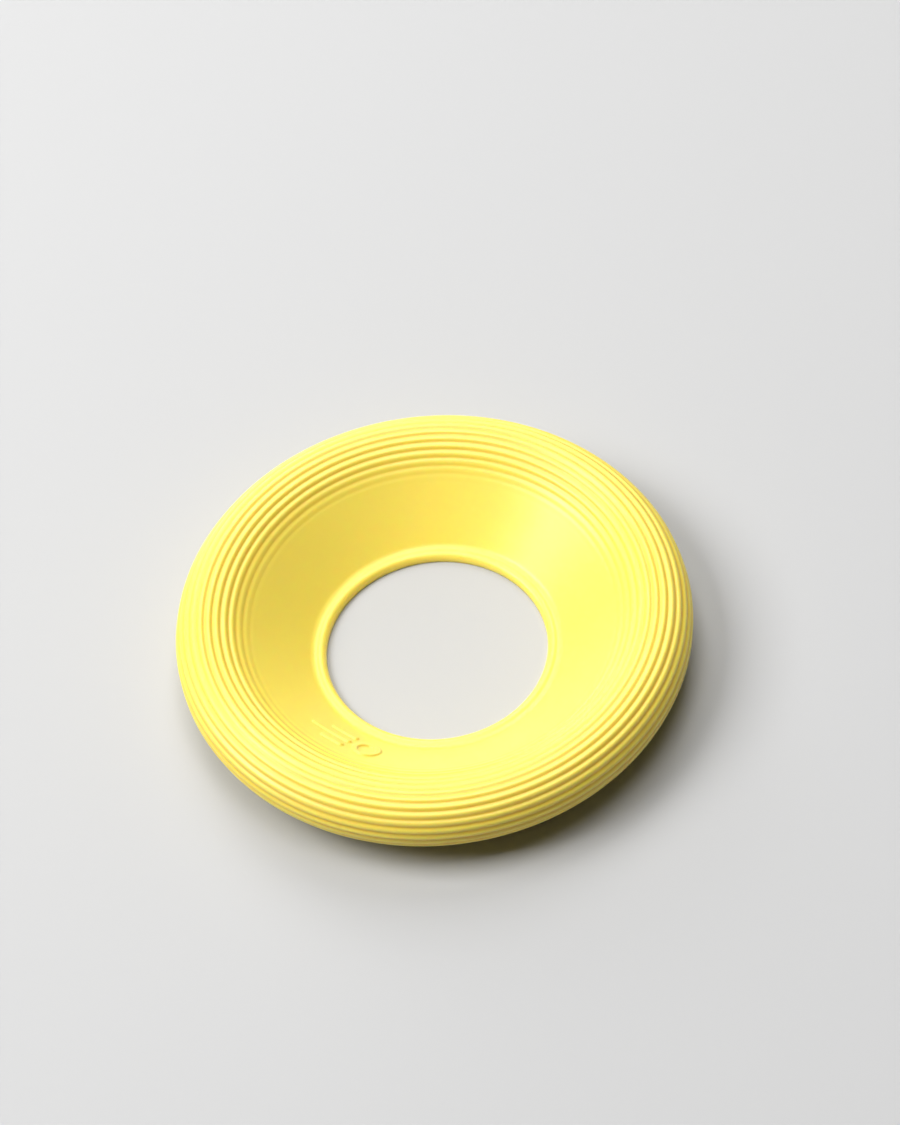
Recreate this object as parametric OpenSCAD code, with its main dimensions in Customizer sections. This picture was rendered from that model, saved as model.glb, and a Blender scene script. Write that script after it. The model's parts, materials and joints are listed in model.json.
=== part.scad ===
// Flying ring: a throwing ring moulded in one piece from soft rubber.
// A hollow rim with grip ribs rolls over its crown into a sloping web, which ends in a beaded hole.
// Lengths are in millimetres. +Z is the ring's axis, and the ring rests on z = 0.

/* [Ring] */
// Outside diameter over the rim
outer_d = 220; // [200:1:280]
// Height of the crown above the surface that the ring rests on
height = 33.5; // [28:0.5:40]
// Diameter of the hole
hole_d = 95; // [76:1:114]
// Thickness of the rubber
wall = 3.6; // [3:0.1:4.5]

/* [Rim] */
// Radius of the rim's round outside, from its crown to its rolled lip
rim_r = 13; // [11:0.5:14]
// Radius of the crown where it rolls over towards the hole
crown_inner_r = 22; // [18:0.5:27]

/* [Bead round the hole] */
// Radius of the bead's round top
bead_r = 2.7; // [2.2:0.1:3.4]
// Height of the bead's top above the crease beside it
bead_rise = 0.35; // [0.2:0.05:0.6]
// Height of the straight band at the bottom of the hole
bead_band = 1.3; // [0.8:0.1:2]
// Radius of the hollow where the web levels out beside the bead
hollow_r = 5; // [3:0.5:8]

/* [Grip ribs] */
// Distance from groove to groove along the rubber
rib_pitch = 3.55; // [2.8:0.05:4.2]
// Depth of a groove
rib_depth = 0.65; // [0.3:0.05:1]
// Number of grooves outside the one on the crown
ribs_outside = 7; // [3:1:8]
// Number of grooves inside the one on the crown
ribs_inside = 7; // [3:1:8]
// Length over which the innermost grooves fade out
rib_fade = 20; // [8:1:24]
// Place of the crown's own groove, less than 0 where it is nearer the hole
rib_middle = -0.6; // [-1.5:0.1:1.5]

/* [Emblem] */
// Direction of the emblem from the ring's axis
emblem_angle = 230; // [0:5:355]
// Gap between the bead's crease and the emblem
emblem_gap = 8; // [6:0.5:10]
// Height of the emblem above the web
emblem_relief = 0.7; // [0.3:0.1:1]
// Width of the emblem's strokes
emblem_stroke = 2.2; // [1.6:0.1:2.6]
// Outside diameter of the emblem's little ring
emblem_ring_d = 12; // [10:0.5:13]
// Length of the middle one of the three dashes
emblem_long_dash = 19; // [14:1:22]
// Length of the dash nearest the hole
emblem_inner_dash = 13; // [8:1:22]
// Length of the dash nearest the rim
emblem_outer_dash = 11; // [8:1:22]

/* [Hidden] */
rubber_yellow = [0.97, 0.93, 0.42];
$fn = 180;
// The rim is one arc about its own middle, and the crown rolls inwards on a wider one
rim_centre = [outer_d / 2 - rim_r, height - rim_r];
crown_centre = [rim_centre.x, height - crown_inner_r];
// The bead's top is an arc from the hole's band to the crease, and the hollow starts level there
hole_r = hole_d / 2;
bead_centre = [hole_r + bead_r, bead_band];
crease_angle = acos(1 - bead_rise / bead_r);
crease = arc_point(bead_centre, bead_r, crease_angle);
hollow_centre = crease + [0, hollow_r];
// The web is the straight line that touches the hollow from below and the crown's arc from above
hollow_to_crown = crown_centre - hollow_centre;
both_r = hollow_r + crown_inner_r;
web_slope = atan2(hollow_to_crown.y, hollow_to_crown.x) + asin(both_r / norm(hollow_to_crown));
web_length = sqrt(pow(norm(hollow_to_crown), 2) - pow(both_r, 2));
// Places along the skin, counted from the crown: more than 0 is outwards, less than 0 towards the hole
lip_start = rim_r * PI;
web_end = -crown_inner_r * web_slope * PI / 180;
web_start = web_end - web_length;
rib_start = rib_middle - (ribs_inside + 0.5) * rib_pitch;
rib_end = rib_middle + (ribs_outside + 0.5) * rib_pitch;
// Steps between the section's points: across the ribs, where the skin is plain, and in degrees of arc
rib_step = rib_pitch / 8;
plain_step = 1.2;
turn_step = 12;
// A power above 1 makes the grooves narrower than the ridges between them
groove_power = 1.4;

function degrees_along(s, r) = s / r * 180 / PI;

// A point on an arc, its angle counted from the top and outwards
function arc_point(centre, r, angle) = centre + r * [sin(angle), cos(angle)];

// The point at s along the skin and this deep under it, as its distance from the axis and its height
function skin(s, depth) =
    s > 0 ? arc_point(rim_centre, rim_r - depth, degrees_along(s, rim_r)) :
    s > web_end ? arc_point(crown_centre, crown_inner_r - depth, degrees_along(s, crown_inner_r)) :
    arc_point(crown_centre, crown_inner_r - depth, -web_slope)
        + (s - web_end) * [cos(web_slope), sin(web_slope)];

// The share of a groove's depth that is left at s, after the fade towards the hole
function rib_strength(s) = let (t = min(1, (s - rib_start) / rib_fade)) t * t * (3 - 2 * t);

function groove(s) = rib_depth * rib_strength(s)
    * pow((1 + cos(360 * (s - rib_middle) / rib_pitch)) / 2, groove_power);

// Even places from a to b, no more than a step apart
function places(a, b, step) = let (n = ceil((b - a) / step)) [for (i = [0 : n]) a + (b - a) * i / n];

function reversed(list) = [for (i = [len(list) - 1 : -1 : 0]) list[i]];

// Half of the ring's section: the bead, the hollow, the web and its ribs, the rim's smooth underside,
// the lip, and then back inside the rim and under the web to the flat foot
module section() {
    bead = [for (angle = places(-90, crease_angle, turn_step)) arc_point(bead_centre, bead_r, angle)];
    hollow = [for (slope = places(turn_step / 2, web_slope, turn_step / 2))
        hollow_centre + hollow_r * [sin(slope), -cos(slope)]];
    ribs = [for (s = places(rib_start, rib_end, rib_step)) skin(s, groove(s))];
    rim_underside = [for (s = places(rib_end + plain_step, lip_start, plain_step)) skin(s, 0)];
    lip = [for (angle = places(180 + turn_step, 360 - turn_step, turn_step))
        arc_point(skin(lip_start, wall / 2), wall / 2, angle)];
    inside = reversed([for (s = places(web_end, lip_start, plain_step)) skin(s, wall)]);
    web_underside = skin(web_start, wall);
    foot_r = web_underside.x - web_underside.y / tan(web_slope);
    polygon(concat(bead, hollow, ribs, rim_underside, lip, inside, [[foot_r, 0], [hole_r, 0]]));
}

// A dash with round ends that stops at x = 0 and lies to its left
module dash(length) {
    round_r = emblem_stroke / 2;
    translate([-length / 2, 0]) square([length - emblem_stroke, emblem_stroke], center = true);
    for (x = [-round_r, round_r - length]) translate([x, 0]) circle(round_r);
}

// A little ring in flight with three dashes behind it, its middle at the origin
module emblem_outline() {
    total = emblem_long_dash + emblem_stroke + emblem_ring_d;
    dashes_end = total / 2 - emblem_ring_d - emblem_stroke;
    row_pitch = (emblem_ring_d - emblem_stroke) / 2;
    translate([(total - emblem_ring_d) / 2, 0]) difference() {
        circle(d = emblem_ring_d);
        circle(d = emblem_ring_d - 2 * emblem_stroke);
    }
    translate([dashes_end, row_pitch]) dash(emblem_inner_dash);
    translate([dashes_end, 0]) dash(emblem_long_dash);
    translate([dashes_end, -row_pitch]) dash(emblem_outer_dash);
}

// The emblem's faces follow the web, and the crown if it reaches that far, and its sides stand along
// the axis, the way the mould opens
module emblem() {
    root = 1;
    emblem_r = crease.x + emblem_gap + emblem_ring_d / 2;
    band = concat([web_start], places(web_end, 0, plain_step));
    intersection() {
        rotate([0, 0, emblem_angle + 90]) translate([0, -emblem_r, 0])
            linear_extrude(height) emblem_outline();
        rotate_extrude() polygon(concat(
            [for (s = band) skin(s, root)],
            reversed([for (s = band) skin(s, -emblem_relief)])
        ));
    }
}

module ring() color(rubber_yellow) {
    rotate_extrude() section();
    emblem();
}

ring();
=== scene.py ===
# %% [markdown]
# # A soft rubber flying ring
#
# The object is one moulding: a hollow rim with grip ribs, a web that slopes down towards the middle,
# and a beaded hole. Nothing on it is assembled, so it is modelled here as one mesh.
#
# The CAD model gives the size and the place. This script builds the finer visible surface around it,
# in metres, with +Z up the ring's axis and the surface it rests on at z = 0.

import json
import math

import bpy
import numpy as np
from mathutils import Matrix, Vector


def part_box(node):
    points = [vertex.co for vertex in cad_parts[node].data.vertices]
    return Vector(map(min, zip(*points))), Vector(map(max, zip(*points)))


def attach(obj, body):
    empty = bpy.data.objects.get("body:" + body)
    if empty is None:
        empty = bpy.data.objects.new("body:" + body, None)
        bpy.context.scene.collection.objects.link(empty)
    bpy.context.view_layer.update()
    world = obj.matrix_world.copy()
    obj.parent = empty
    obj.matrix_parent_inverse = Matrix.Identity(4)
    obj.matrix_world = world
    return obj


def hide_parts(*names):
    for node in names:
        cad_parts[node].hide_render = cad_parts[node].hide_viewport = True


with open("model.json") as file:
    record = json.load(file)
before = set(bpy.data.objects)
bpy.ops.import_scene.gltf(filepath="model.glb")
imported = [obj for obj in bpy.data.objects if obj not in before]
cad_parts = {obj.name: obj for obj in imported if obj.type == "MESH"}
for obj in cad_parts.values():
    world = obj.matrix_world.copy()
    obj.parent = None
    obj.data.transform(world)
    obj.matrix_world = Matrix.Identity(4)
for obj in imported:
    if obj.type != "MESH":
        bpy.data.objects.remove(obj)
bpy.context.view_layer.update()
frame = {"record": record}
low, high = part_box("ring")
mounts = {m["name"]: m for m in frame["record"]["mounts"]}
MM = 0.001
print(f"CAD ring: {high.x - low.x:.4f} m across, {high.z:.4f} m high")

# %% [markdown]
# ## The section of the ring
#
# A round moulding is easiest to describe by its section, the shape that a straight cut through the
# wall shows. A lathe-like object could be drawn as a curve and turned with a Screw modifier, but here
# the ribs follow the rim round, so the section is written as a formula: a walk along the skin. The
# distance `s` is counted from the crown, outwards over the rim when positive and inwards down the web
# when negative, and `depth` goes into the rubber.

# %% Sizes of the section
ring_r = high.x
crown_z = high.z
hole_r = mounts["centre_hole"]["dims"]["r_mm"] * MM
band_h = mounts["centre_hole"]["dims"]["length_mm"] * MM
wall = 3.6 * MM
rim_r = 13 * MM
crown_inner_r = 22 * MM
bead_r = 2.7 * MM
bead_rise = 0.35 * MM
hollow_r = 5 * MM
print(f"section from the hole at {hole_r:.4f} m to the rim at {ring_r:.4f} m")


# %% Arcs of the section
def arc_point(centre, radius, angle):
    """A point on an arc, its angle counted from the top and outwards."""
    return np.array([centre[0] + radius * math.sin(angle), centre[1] + radius * math.cos(angle)])


rim_centre = np.array([ring_r - rim_r, crown_z - rim_r])
crown_centre = np.array([rim_centre[0], crown_z - crown_inner_r])
bead_centre = np.array([hole_r + bead_r, band_h])
crease_angle = math.acos(1 - bead_rise / bead_r)
crease = arc_point(bead_centre, bead_r, crease_angle)
hollow_centre = crease + [0, hollow_r]
print(f"the bead ends in a crease {crease[0]:.4f} m from the axis and {crease[1]:.4f} m up")

# %% Slope of the web
both_r = hollow_r + crown_inner_r
hollow_to_crown = crown_centre - hollow_centre
apart = np.linalg.norm(hollow_to_crown)
web_slope = math.atan2(hollow_to_crown[1], hollow_to_crown[0]) + math.asin(both_r / apart)
web_length = math.sqrt(apart**2 - both_r**2)
print(f"the web slopes {math.degrees(web_slope):.1f} degrees over {web_length:.4f} m")

# %% Lengths along the skin
web_end = -crown_inner_r * web_slope
web_start = web_end - web_length
lip_start = rim_r * math.pi


def skin(s, depth=0.0):
    """The place at s along the skin and this deep under it, as distance from the axis and height."""
    if s > 0:
        return arc_point(rim_centre, rim_r - depth, s / rim_r)
    if s > web_end:
        return arc_point(crown_centre, crown_inner_r - depth, s / crown_inner_r)
    along = (s - web_end) * np.array([math.cos(web_slope), math.sin(web_slope)])
    return arc_point(crown_centre, crown_inner_r - depth, -web_slope) + along


print(f"skin from {web_start:.4f} m where the web starts to {lip_start:.4f} m at the lip")

# %% [markdown]
# ## Grip ribs
#
# The ribs are what the fingers hold. They are even waves along the skin, with grooves a little
# narrower than the ridges, and they die away towards the hole, where the web is smooth. Bump mapping
# would be quicker, but the ribs show in the outline of the rim and catch long highlights, so they are
# real geometry. A raised cosine gives rounded ridges with no sharp edge, as a mould does.

# %% Ribs
rib_pitch = 3.55 * MM
rib_depth = 0.65 * MM
ribs_outside = 7
ribs_inside = 7
rib_fade = 20 * MM
rib_middle = -0.6 * MM
groove_power = 1.4
rib_start = rib_middle - (ribs_inside + 0.5) * rib_pitch
rib_end = rib_middle + (ribs_outside + 0.5) * rib_pitch


def groove(s):
    """How far into its groove the skin is at s, from 0 on a ridge to 1 at the bottom of a full groove."""
    if not rib_start < s < rib_end:
        return 0.0
    t = min(1.0, (s - rib_start) / rib_fade)
    wave = (1 + math.cos(2 * math.pi * (s - rib_middle) / rib_pitch)) / 2
    return t * t * (3 - 2 * t) * wave**groove_power


print(f"{ribs_inside + ribs_outside + 1} grooves, {rib_depth * 1000:.2f} mm deep")


# %% [markdown]
# ## The raised emblem
#
# A small raised mark stands on the web: a ring in flight with three dashes behind it. It could be a
# separate mesh laid on the surface, but a moulded mark is part of the rubber, with soft shoulders that
# run into it. So the skin itself is lifted. A signed distance, which is negative inside a stroke and
# positive outside it, gives both the shape and the width of the shoulder.

# %% Emblem sizes
emblem_angle = math.radians(230)
emblem_gap = 8 * MM
emblem_ring_d = 12 * MM
emblem_stroke = 2.2 * MM
emblem_dashes = {1: 13 * MM, 0: 19 * MM, -1: 11 * MM}
emblem_relief = 0.7 * MM
emblem_shoulder = 0.2 * MM
emblem_step = 0.28 * MM
# Share of painted groove shade given to the emblem's shoulders.
emblem_edge_shade = 0.9
emblem_r = crease[0] + emblem_gap + emblem_ring_d / 2
emblem_total = emblem_dashes[0] + emblem_stroke + emblem_ring_d
emblem_across = np.array([-math.sin(emblem_angle), math.cos(emblem_angle)])
emblem_inward = np.array([-math.cos(emblem_angle), -math.sin(emblem_angle)])
web_foot_r = skin(web_start)[0]
emblem_low_r = crease[0] + emblem_gap - 2 * emblem_shoulder
emblem_low_s = web_start + (emblem_low_r - web_foot_r) / math.cos(web_slope)
print(f"emblem {emblem_total * 1000:.1f} mm long at {emblem_r * 1000:.1f} mm from the axis")


# %% Emblem shape
def stroke_distance(x, y):
    """Distance from the edge of the nearest stroke, less than 0 inside one."""
    ring_mid = (emblem_ring_d - emblem_stroke) / 2
    ring_x = (emblem_total - emblem_ring_d) / 2
    nearest = abs(math.hypot(x - ring_x, y) - ring_mid)
    dash_end = emblem_total / 2 - emblem_ring_d - emblem_stroke * 1.5
    for row, length in emblem_dashes.items():
        dash_start = dash_end - (length - emblem_stroke)
        past = x - min(max(x, dash_start), dash_end)
        nearest = min(nearest, math.hypot(past, y - row * ring_mid))
    return nearest - emblem_stroke / 2


def emblem_height(x, y):
    """How far the skin is lifted at a point seen from above."""
    point = np.array([x, y])
    distance = stroke_distance(point @ emblem_across, point @ emblem_inward + emblem_r)
    t = min(1.0, max(0.0, 0.5 - distance / (2 * emblem_shoulder)))
    return emblem_relief * t * t * (3 - 2 * t)


# %% [markdown]
# ## From section to mesh
#
# The outline is walked once round: over the bead, up the web, across the ribs, down round the rim to
# the rolled lip, and back inside to the flat foot. Each place remembers how far it is along the skin
# and how deep in a groove, because the emblem and the colour use both later. Steps are short where the
# shape turns quickly and longer where it runs straight.

# %% Outline of the section
def places(start, end, step):
    """Even places from start to end, no more than a step apart."""
    return np.linspace(start, end, max(2, math.ceil((end - start) / step) + 1))


outline = []


# The depth in a groove is kept for the painted shade in the colour, deeper orange in the grooves.
def add(point, s=None, groove_shade_share=0.0):
    outline.append((point[0], point[1], np.nan if s is None else s, groove_shade_share))


turn_step = math.radians(12)
lip_step = turn_step * 1.6
web_step, rim_step, inside_step, foot_step = 1.2 * MM, 1.3 * MM, 1.6 * MM, 6 * MM
steps_per_rib = 9
corner_cut = 0.35 * MM
for angle in places(-math.pi / 2, crease_angle, turn_step)[:-1]:
    add(arc_point(bead_centre, bead_r, angle))
for slope in places(0, web_slope, turn_step / 2)[:-1]:
    add(hollow_centre + hollow_r * np.array([math.sin(slope), -math.cos(slope)]))
web_places = [
    *places(web_start, emblem_low_s, web_step)[:-1],
    *places(emblem_low_s, rib_start, emblem_step)[:-1],
]
for s in web_places:
    add(skin(s), s)
for s in places(rib_start, rib_end, rib_pitch / steps_per_rib):
    add(skin(s, rib_depth * groove(s)), s, groove(s))
for s in places(rib_end, lip_start, rim_step)[1:]:
    add(skin(s))
for angle in places(math.pi, 2 * math.pi, lip_step)[1:-1]:
    add(arc_point(skin(lip_start, wall / 2), wall / 2, angle))
for s in places(web_end, lip_start, inside_step)[::-1]:
    add(skin(s, wall))
foot_s = web_start - skin(web_start, wall)[1] / math.sin(web_slope)
for s in [*places(foot_s, web_end, foot_step)[-2:0:-1], foot_s + corner_cut]:
    add(skin(s, wall))
foot_r = skin(foot_s, wall)[0]
add((foot_r - corner_cut, 0.0))
add(((foot_r + hole_r) / 2, 0.0))
add((hole_r + corner_cut, 0.0))
add((hole_r, corner_cut))
print(f"{len(outline)} places round the section, foot from {hole_r:.4f} to {foot_r:.4f} m")

# %% [markdown]
# ## Turning the section
#
# The outline is turned round the axis in columns. A Screw modifier would space them evenly, which
# either wastes faces or makes the emblem coarse, so the columns are listed: close together across
# the emblem and wide apart elsewhere. The mesh stays closed and under 200,000 triangles.

# %% Columns
emblem_half = math.asin((emblem_total / 2 + emblem_stroke) / (emblem_r - emblem_ring_d / 2))
fine_columns = places(emblem_angle - emblem_half, emblem_angle + emblem_half, emblem_step / emblem_r)
plain_column_step = math.radians(2.0)
round_the_rest = (fine_columns[-1], fine_columns[0] + 2 * math.pi)
columns = np.concatenate([fine_columns, places(*round_the_rest, plain_column_step)[1:-1]])
print(f"{len(columns)} columns, {len(fine_columns)} of them across the emblem")

# %% Vertices
lift = np.array([-math.sin(web_slope), math.cos(web_slope)])
points, painted_shades = [], []
for angle in columns:
    by_emblem = abs(angle - emblem_angle) <= emblem_half
    turn = np.array([math.cos(angle), math.sin(angle)])
    for radius, height, s, deep in outline:
        if by_emblem and s > emblem_low_s - emblem_step and s < web_end:
            share = emblem_height(*(radius * turn)) / emblem_relief
            radius, height = np.array([radius, height]) + share * emblem_relief * lift
            # Painted shade: the emblem's shoulders get some of the grooves' deeper orange, strongest
            # halfway up.
            deep = max(deep, emblem_edge_shade * 4 * share * (1 - share))
        points.append((*(radius * turn), height))
        painted_shades.append(deep)
print(f"{len(points)} vertices, the deepest at {max(painted_shades):.2f} of a groove")

# %% Faces
rows = len(outline)
faces = [
    (c * rows + r, c * rows + (r + 1) % rows, after * rows + (r + 1) % rows, after * rows + r)
    for c, after in zip(range(len(columns)), [*range(1, len(columns)), 0])
    for r in range(rows)
]
mesh = bpy.data.meshes.new("rubber_ring")
mesh.from_pydata(points, [], faces)
mesh.shade_smooth()
# Painted shade: the share of deeper orange for the grooves and the emblem's shoulders, read by the
# material.
painted_groove_shade = mesh.attributes.new("painted_groove_shade", "FLOAT", "POINT")
painted_groove_shade.data.foreach_set("value", painted_shades)
rubber_ring = bpy.data.objects.new("rubber_ring", mesh)
bpy.context.scene.collection.objects.link(rubber_ring)
print(f"rubber ring: {len(points)} vertices, {2 * len(faces)} triangles")

# %% [markdown]
# ## Rubber
#
# Moulded rubber isn't glossy like hard plastic. Light soaks a little way in and comes out warmer, so
# yellow rubber turns orange in its grooves. The shader's subsurface part does that, helped by painted
# shade: a deeper orange mixed into the colour in the grooves and on the emblem's shoulders, where the
# wall never faces the light. A fine grain from the blasted mould breaks up the highlights.

# %% Material helpers
def add_node(tree, kind, **values):
    """A node of this kind with these inputs set."""
    made = tree.nodes.new(kind)
    for name, value in values.items():
        made.inputs[name].default_value = value
    return made


def mix_colour(tree, share, first, second, blend="MIX"):
    """A colour mix whose share, first and second are sockets or values."""
    made = tree.nodes.new("ShaderNodeMix")
    made.data_type = "RGBA"
    made.blend_type = blend
    for socket, value in ((made.inputs[0], share), (made.inputs[6], first), (made.inputs[7], second)):
        if isinstance(value, bpy.types.NodeSocket):
            tree.links.new(value, socket)
        else:
            socket.default_value = value
    return made.outputs[2]


# %% Yellow rubber
def yellow_rubber():
    material = bpy.data.materials.new("yellow_rubber")
    material.use_nodes = True
    tree = material.node_tree
    shader = tree.nodes["Principled BSDF"]
    place = tree.nodes.new("ShaderNodeTexCoord").outputs["Object"]
    painted_shade_attribute = tree.nodes.new("ShaderNodeAttribute")
    painted_shade_attribute.attribute_name = "painted_groove_shade"

    cloud = add_node(tree, "ShaderNodeTexNoise", Scale=26.0, Detail=3.0, Roughness=0.55)
    tree.links.new(place, cloud.inputs["Vector"])
    pigment = mix_colour(tree, cloud.outputs["Fac"], (0.92, 0.75, 0.125, 1), (0.90, 0.72, 0.105, 1))
    # Painted shade: the grooves and the emblem's shoulders are mixed towards a deeper orange, standing in
    # for shade.
    painted_shade_share = tree.nodes.new("ShaderNodeMath")
    painted_shade_share.operation = "MULTIPLY"
    painted_shade_share.inputs[1].default_value = 0.6
    tree.links.new(painted_shade_attribute.outputs["Fac"], painted_shade_share.inputs[0])
    colour = mix_colour(tree, painted_shade_share.outputs[0], pigment, (0.78, 0.48, 0.020, 1))
    tree.links.new(colour, shader.inputs["Base Color"])

    grain = add_node(tree, "ShaderNodeTexNoise", Scale=2600.0, Detail=2.0, Roughness=0.6)
    tree.links.new(place, grain.inputs["Vector"])
    bump = add_node(tree, "ShaderNodeBump", Strength=0.25, Distance=0.00004)
    tree.links.new(grain.outputs["Fac"], bump.inputs["Height"])
    tree.links.new(bump.outputs["Normal"], shader.inputs["Normal"])

    rough = tree.nodes.new("ShaderNodeMapRange")
    rough.inputs["To Min"].default_value = 0.30
    rough.inputs["To Max"].default_value = 0.42
    tree.links.new(cloud.outputs["Fac"], rough.inputs["Value"])
    tree.links.new(rough.outputs["Result"], shader.inputs["Roughness"])

    shader.inputs["Subsurface Weight"].default_value = 0.45
    shader.inputs["Subsurface Radius"].default_value = (1.0, 0.45, 0.08)
    shader.inputs["Subsurface Scale"].default_value = 3 * MM
    shader.inputs["IOR"].default_value = 1.54
    shader.inputs["Sheen Weight"].default_value = 0.04
    shader.inputs["Sheen Roughness"].default_value = 0.5
    return material


mesh.materials.append(yellow_rubber())
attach(rubber_ring, "root")
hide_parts("ring")
print(f"{rubber_ring.name} stands for the CAD ring")

# %% [markdown]
# ## Studio
#
# The ring lies on a plain pale floor. The largest light stands high on its left, with softer ones behind
# and above. Nothing shines from the near right, so that side of the rim turns dark and the ribs show
# their depth there. Each light is wide and far away, which keeps the floor evenly lit. The sky is pale
# near the horizon, behind the floor's edge, and nearly black overhead, because light from all round
# would flatten the ribs.

# %% Floor
floor_mesh = bpy.data.meshes.new("studio_floor")
floor_r = 2.6
floor_sides = 96
floor_angles = np.linspace(0, 2 * math.pi, floor_sides + 1)[:-1]
floor_mesh.from_pydata(
    [(floor_r * math.cos(a), floor_r * math.sin(a), 0.0) for a in floor_angles],
    [],
    [tuple(range(floor_sides))],
)
studio_floor = bpy.data.objects.new("studio_floor", floor_mesh)
bpy.context.scene.collection.objects.link(studio_floor)
pale = bpy.data.materials.new("pale_floor")
pale.use_nodes = True
pale.node_tree.nodes["Principled BSDF"].inputs["Base Color"].default_value = (0.48, 0.48, 0.48, 1)
pale.node_tree.nodes["Principled BSDF"].inputs["Roughness"].default_value = 0.9
floor_mesh.materials.append(pale)


# %% Lights
def soft_light(name, place, size, power):
    """A square soft light that faces the ring."""
    lamp = bpy.data.lights.new(name, "AREA")
    lamp.size = size
    lamp.energy = power
    made = bpy.data.objects.new(name, lamp)
    made.location = place
    made.rotation_euler = (-Vector(place)).to_track_quat("-Z", "Y").to_euler()
    bpy.context.scene.collection.objects.link(made)


soft_light("left_light", (-2.2, 0.2, 2.4), 1.8, 108)
soft_light("back_light", (0.0, 2.2, 2.4), 1.8, 48)
soft_light("top_light", (0.0, 0.2, 3.4), 1.8, 52)
soft_light("low_back_light", (-1.2, 3.0, 1.0), 1.6, 34)
world = bpy.data.worlds.new("pale_sky")
world.use_nodes = True
background = world.node_tree.nodes["Background"]
background.inputs["Color"].default_value = (1, 1, 1, 1)
direction = world.node_tree.nodes.new("ShaderNodeTexCoord").outputs["Generated"]
split = world.node_tree.nodes.new("ShaderNodeSeparateXYZ")
glow = world.node_tree.nodes.new("ShaderNodeMapRange")
glow.inputs["From Max"].default_value = 0.20
glow.inputs["To Min"].default_value = 0.50
glow.inputs["To Max"].default_value = 0.03
world.node_tree.links.new(direction, split.inputs["Vector"])
world.node_tree.links.new(split.outputs["Z"], glow.inputs["Value"])
world.node_tree.links.new(glow.outputs["Result"], background.inputs["Strength"])
bpy.context.scene.world = world
bpy.context.scene.view_settings.view_transform = "Standard"

# %% [markdown]
# ## Camera
#
# The camera looks down on the ring from well above the rim, far enough away for the near and far
# sides to look the same size, and leans a little so that the ring's right side rides up.

# %% Place the camera
camera_rise = math.radians(52.51)
camera_lean = math.radians(-7.03)
camera_distance = 1.48
ring_right, ring_down = -0.0079, 0.0175
forward = Vector((0, math.cos(camera_rise), -math.sin(camera_rise)))
level_right = Vector((1, 0, 0))
level_down = forward.cross(level_right)
right = math.cos(camera_lean) * level_right - math.sin(camera_lean) * level_down
down = math.sin(camera_lean) * level_right + math.cos(camera_lean) * level_down
crown_middle = Vector((0, 0, crown_z))
place = crown_middle - camera_distance * forward - ring_right * right - ring_down * down
camera_data = bpy.data.cameras.new("camera")
camera_data.lens = 112.5
camera_data.sensor_width = 36
camera = bpy.data.objects.new("camera", camera_data)
turn = Matrix((right, -down, -forward)).transposed()
camera.matrix_world = Matrix.Translation(place) @ turn.to_4x4()
bpy.context.scene.collection.objects.link(camera)
bpy.context.scene.camera = camera
print(f"camera at {tuple(round(v, 3) for v in place)}")
